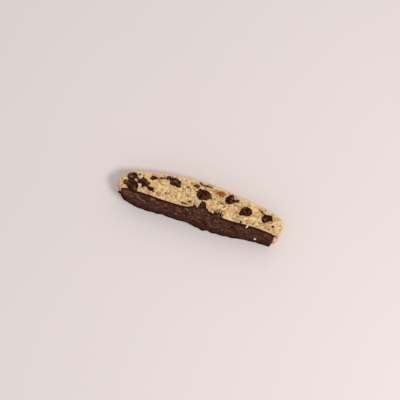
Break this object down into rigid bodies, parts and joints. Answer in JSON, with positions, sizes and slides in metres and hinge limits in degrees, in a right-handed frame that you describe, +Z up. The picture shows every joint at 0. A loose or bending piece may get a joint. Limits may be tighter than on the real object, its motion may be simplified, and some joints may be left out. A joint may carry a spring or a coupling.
{
  "type": "biscotti",
  "caption": "Long slice of twice-baked biscuit with a domed crust, chocolate chips through its crumb and a dark chocolate coat along its flat base.",
  "frame": {"origin": "middle of the bounding box on the plane that the slice lies on", "axes": "+X along the slice, +Y from the dipped base to the domed crown, +Z up through the thickness"},
  "size_m": [0.1494, 0.0388, 0.0192],
  "materials": {
    "baked_crumb": "dry baked crumb, pale golden, fine and grainy, with a thin smooth crust",
    "coating_chocolate": "set dark chocolate, satin, with fine marks along the slice",
    "chip_chocolate": "dark chocolate cut through by a knife, satin to dull",
    "amber_bit": "soft amber-brown bit, slightly translucent"
  },
  "bodies": {
    "root": {"amber_bit_crown": "amber_bit", "amber_bit_left": "amber_bit", "chip_crown_left": "chip_chocolate", "chip_crown_scrap": "chip_chocolate", "chip_crust_a": "chip_chocolate", "chip_crust_b": "chip_chocolate", "chip_crust_c": "chip_chocolate", "chip_crust_d": "chip_chocolate", "chip_crust_e": "chip_chocolate", "chip_kiss": "chip_chocolate", "chip_kiss_tail": "chip_chocolate", "chip_large": "chip_chocolate", "chip_left_high": "chip_chocolate", "chip_left_inner": "chip_chocolate", "chip_left_low": "chip_chocolate", "chip_left_tail": "chip_chocolate", "chip_middle_scrap": "chip_chocolate", "chip_right": "chip_chocolate", "chip_rim_sliver": "chip_chocolate", "chip_round": "chip_chocolate", "chip_under_a": "chip_chocolate", "chip_under_b": "chip_chocolate", "chip_under_c": "chip_chocolate", "chip_under_d": "chip_chocolate", "chip_under_e": "chip_chocolate", "chip_under_f": "chip_chocolate", "chip_under_g": "chip_chocolate", "chip_under_h": "chip_chocolate", "chocolate_coat": "coating_chocolate", "cookie": "baked_crumb"}
  },
  "joints": []
}
